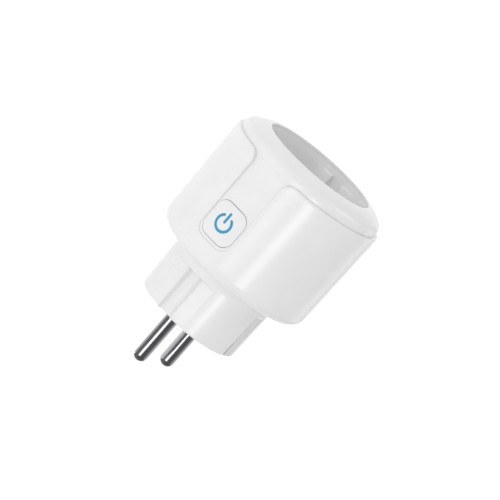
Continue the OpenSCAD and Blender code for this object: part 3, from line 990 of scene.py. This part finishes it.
def studio():
    """A pale floor that glows a little, and an even white surround."""
    floor_mesh = bpy.data.meshes.new("floor")
    reach = 4
    floor_z = cad_box[0][2]
    corners = ((-reach, -reach), (reach, -reach), (reach, reach), (-reach, reach))
    floor_mesh.from_pydata([(x, y, floor_z) for x, y in corners], [], [(0, 1, 2, 3)])
    floor = bpy.data.objects.new("floor", floor_mesh)
    bpy.context.scene.collection.objects.link(floor)
    paint = Paint("floor_paint")
    paint.colour(paint.between(paint.noise(400), (0.3, 0.3, 0.3), (0.32, 0.32, 0.32)))
    paint.roughness(paint.span(paint.noise(50), 0.85, 0.95))
    paint.set(Emission_Color=(1, 1, 1, 1), Emission_Strength=FLOOR_GLOW)
    floor_mesh.materials.append(paint.material)

    world = bpy.data.worlds.new("studio")
    world.use_nodes = True
    world.node_tree.nodes["Background"].inputs["Color"].default_value = (1, 1, 1, 1)
    world.node_tree.nodes["Background"].inputs["Strength"].default_value = SURROUND_GLOW
    bpy.context.scene.world = world


def area_lamp(name, power, width, length, place):
    """A rectangular lamp that shines down its own -z."""
    lamp = bpy.data.lights.new(name, "AREA")
    lamp.shape = "RECTANGLE"
    lamp.size, lamp.size_y = width, length
    lamp.energy = power
    stand = bpy.data.objects.new(name, lamp)
    stand.matrix_world = place
    bpy.context.scene.collection.objects.link(stand)
    return stand


def panel(name, power, turn_deg, rise_deg, width, length):
    """A soft lamp that faces the plug: turn_deg round its axis from the button, rise_deg to its front."""
    turn, rise = math.radians(turn_deg), math.radians(rise_deg)
    aim = along_axis(0, 0, RIM_Z / 2)
    out = math.cos(rise)
    back = along_axis(out * math.cos(turn), out * math.sin(turn), math.sin(rise)).normalized()
    across = along_axis(0, 0, 1).cross(back).normalized()
    facing = Matrix((across, back.cross(across), back)).transposed().to_4x4()
    return area_lamp(name, power, width, length, Matrix.Translation(aim + back * PANEL_DISTANCE) @ facing)


def link_light(lamp, pieces, state):
    """Lets a lamp reach only these pieces ("INCLUDE"), or every piece but these ("EXCLUDE")."""
    group = bpy.data.collections.new(lamp.name + "_pieces")
    for piece in pieces:
        group.objects.link(piece)
    for linked in group.collection_objects:
        linked.light_linking.link_state = state
    lamp.light_linking.receiver_collection = group


def pin_card(name, power, x, width):
    """A glowing card laid just above the floor, under the pins, for them to mirror."""
    middle = Matrix.Translation(along_axis(x, PIN_CARD_HEIGHT, -PIN_LEN / 2))
    face_up = Matrix.Rotation(math.pi, 4, "X")
    card = area_lamp(name, power, width * MM, PIN_LEN * 3 * MM, middle @ face_up)
    card.visible_camera = False
    return card


CAMERA_TURN = 23.1
CAMERA_AXIS_DISTANCE = 1.0718
CAMERA_HEIGHT = 249.34
CAMERA_AIM = (-0.28, 0.59, 29.66)
CAMERA_ROLL = 41.03
CAMERA_LENS = 250.4


def place_camera():
    """Looks at the flank of the plug, a little from its front, with the front turned up and right."""
    turn = math.radians(CAMERA_TURN)
    reach = CAMERA_AXIS_DISTANCE / MM
    eye = along_axis(reach * math.cos(turn), reach * math.sin(turn), CAMERA_HEIGHT)
    ahead = (along_axis(*CAMERA_AIM) - eye).normalized()
    front = along_axis(0, 0, 1).normalized()
    upright = (front - front.dot(ahead) * ahead).normalized()
    up = Matrix.Rotation(-math.radians(CAMERA_ROLL), 3, ahead) @ upright
    right = ahead.cross(up)
    camera = bpy.data.objects.new("camera", bpy.data.cameras.new("camera"))
    camera.data.lens = CAMERA_LENS
    camera.data.sensor_width = 36
    camera.data.clip_start = 0.01
    camera.matrix_world = Matrix.Translation(eye) @ Matrix((right, up, -ahead)).transposed().to_4x4()
    bpy.context.scene.collection.objects.link(camera)
    bpy.context.scene.camera = camera


# ---------- the model ----------

finish_piece(rear_shell(), materials["white_shell"], "housing", "white_shell", "rear_housing")
finish_piece(front_shell(), materials["white_shell"], "housing", "white_shell", "front_housing")
finish_piece(socket_well(), materials["well_plastic"], "housing", "well_plastic", "socket_insert")
pins = []
for node, x in (("live_pin", PIN_X), ("neutral_pin", -PIN_X)):
    pin = contact_pin(node.replace("_pin", "_contact_pin"), x)
    # the pins wear the metal whose dark colour is painted shade, standing in for dark reflections
    pins.append(finish_piece(pin, materials["dark_reflection_pin"], "housing", "nickel_plate", node))
coil = finish_piece(shutter_spring(), materials["spring_steel"], "housing", "spring_steel", "shutter_spring")
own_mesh(coil)
finish_piece(button(), materials["white_button"], "button", "white_button", "button_cap")
finish_piece(power_symbol(), materials["icon_teal"], "button", "icon_teal", "power_icon")

REPLACED = {"rear_housing", "front_housing", "socket_insert", "live_pin", "neutral_pin", "shutter_spring",
            "button_cap", "power_icon"}
FINE_EDGE = {"earth_clip_top": 0.08, "earth_clip_bottom": 0.08, "earth_strip_top": 0.15,
             "earth_strip_bottom": 0.15, "relay_case": 0.3, "film_capacitor": 0.4, "wireless_shield": 0.2,
             "shutter": 0.15, "shutter_frame": 0.15, "switch_body": 0.15, "rectifier": 0.12,
             "power_chip": 0.12, "metering_chip": 0.12, "smoothing_capacitors": 0.3, "choke": 0.2,
             "varistor": 0.5, "fuse_resistor": 0.15}
for node_name in frame["nodes"]:
    if node_name not in REPLACED:
        dress(node_name, FINE_EDGE.get(node_name, 0))

studio()
for settings in BODY_PANELS:
    link_light(panel(*settings), pins, "EXCLUDE")
for settings in PIN_PANELS:
    link_light(panel(*settings), pins, "INCLUDE")
for settings in PIN_CARDS:
    link_light(pin_card(*settings), pins, "INCLUDE")
place_camera()
bpy.context.scene.view_settings.view_transform = "Standard"
